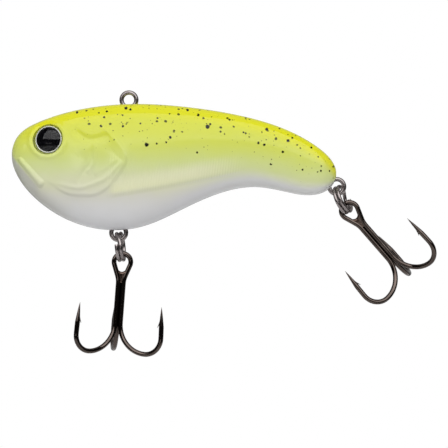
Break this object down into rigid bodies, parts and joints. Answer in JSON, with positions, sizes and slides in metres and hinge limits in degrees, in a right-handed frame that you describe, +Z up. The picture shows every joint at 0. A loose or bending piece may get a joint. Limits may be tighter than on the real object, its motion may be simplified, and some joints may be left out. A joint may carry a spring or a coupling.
{
  "type": "lipless crankbait lure",
  "caption": "Flat-sided hard plastic fishing lure with a line tie on its back, moulded eyes, inner rattles, and treble hooks hanging on split rings at belly and tail.",
  "frame": {"origin": "centre of the line tie's eye", "axes": "+X from nose to tail, +Z up through the back, -Y towards the lure's left side; the line tie's bore runs along Y"},
  "size_m": [0.0854, 0.0171, 0.0539],
  "materials": {
    "painted_shell": "gloss painted ABS under a clear coat",
    "nickel_wire": "dark nickel plated wire",
    "black_nickel": "polished black nickel",
    "braze": "silver braze under black nickel",
    "silver_foil": "bright foil",
    "eye_black": "gloss black",
    "clear_lens": "clear, polished",
    "lead": "dull cast lead",
    "steel_ball": "polished"
  },
  "bodies": {
    "lure_body": {"left_shell": "painted_shell", "right_shell": "painted_shell", "line_tie": "nickel_wire", "belly_hanger": "nickel_wire", "tail_hanger": "nickel_wire", "left_eye_foil": "silver_foil", "left_eye_pupil": "eye_black", "left_eye_dome": "clear_lens", "right_eye_foil": "silver_foil", "right_eye_pupil": "eye_black", "right_eye_dome": "clear_lens", "keel_ballast": "lead"},
    "knocker": {"knocker_ball": "steel_ball"},
    "rattle_1": {"rattle_ball_1": "steel_ball"},
    "rattle_2": {"rattle_ball_2": "steel_ball"},
    "rattle_3": {"rattle_ball_3": "steel_ball"},
    "belly_ring": {"belly_split_ring": "nickel_wire"},
    "belly_treble": {"belly_treble_double_hook": "black_nickel", "belly_treble_third_hook": "black_nickel", "belly_treble_braze": "braze"},
    "tail_ring": {"tail_split_ring": "nickel_wire"},
    "tail_treble": {"tail_treble_double_hook": "black_nickel", "tail_treble_third_hook": "black_nickel", "tail_treble_braze": "braze"}
  },
  "joints": [
    {"name": "belly_ring_swing", "type": "hinge", "parent": "lure_body", "child": "belly_ring", "pos_m": [-0.00194, 0, -0.02843], "axis": [0.9932, -0.0523, 0.1044], "range_deg": [-35, 35]},
    {"name": "belly_treble_swing", "type": "hinge", "parent": "belly_ring", "child": "belly_treble", "pos_m": [-0.00133, 0, -0.0329], "axis": [0, 1, 0], "range_deg": [-70, 55]},
    {"name": "tail_ring_swing", "type": "hinge", "parent": "lure_body", "child": "tail_ring", "pos_m": [0.04283, 0, -0.01895], "axis": [0.8403, -0.3746, 0.3918], "range_deg": [-35, 35]},
    {"name": "tail_treble_swing", "type": "hinge", "parent": "tail_ring", "child": "tail_treble", "pos_m": [0.04481, 0, -0.0225], "axis": [0, 1, 0], "range_deg": [-60, 80]},
    {"name": "knocker_roll", "type": "slide", "parent": "lure_body", "child": "knocker", "axis": [0.9962, 0, 0.0872], "range_m": [0, 0.0112]},
    {"name": "rattle_roll_1", "type": "slide", "parent": "lure_body", "child": "rattle_1", "axis": [0.9962, 0, 0.0872], "range_m": [0, 0.0078]},
    {"name": "rattle_roll_2", "type": "slide", "parent": "lure_body", "child": "rattle_2", "axis": [0.9962, 0, 0.0872], "range_m": [0, 0.0078]},
    {"name": "rattle_roll_3", "type": "slide", "parent": "lure_body", "child": "rattle_3", "axis": [0.9962, 0, 0.0872], "range_m": [0, 0.0078]}
  ],
  "couplings": [
    {"joint": "rattle_roll_2", "follows": "rattle_roll_1", "ratio": 1},
    {"joint": "rattle_roll_3", "follows": "rattle_roll_1", "ratio": 1}
  ]
}
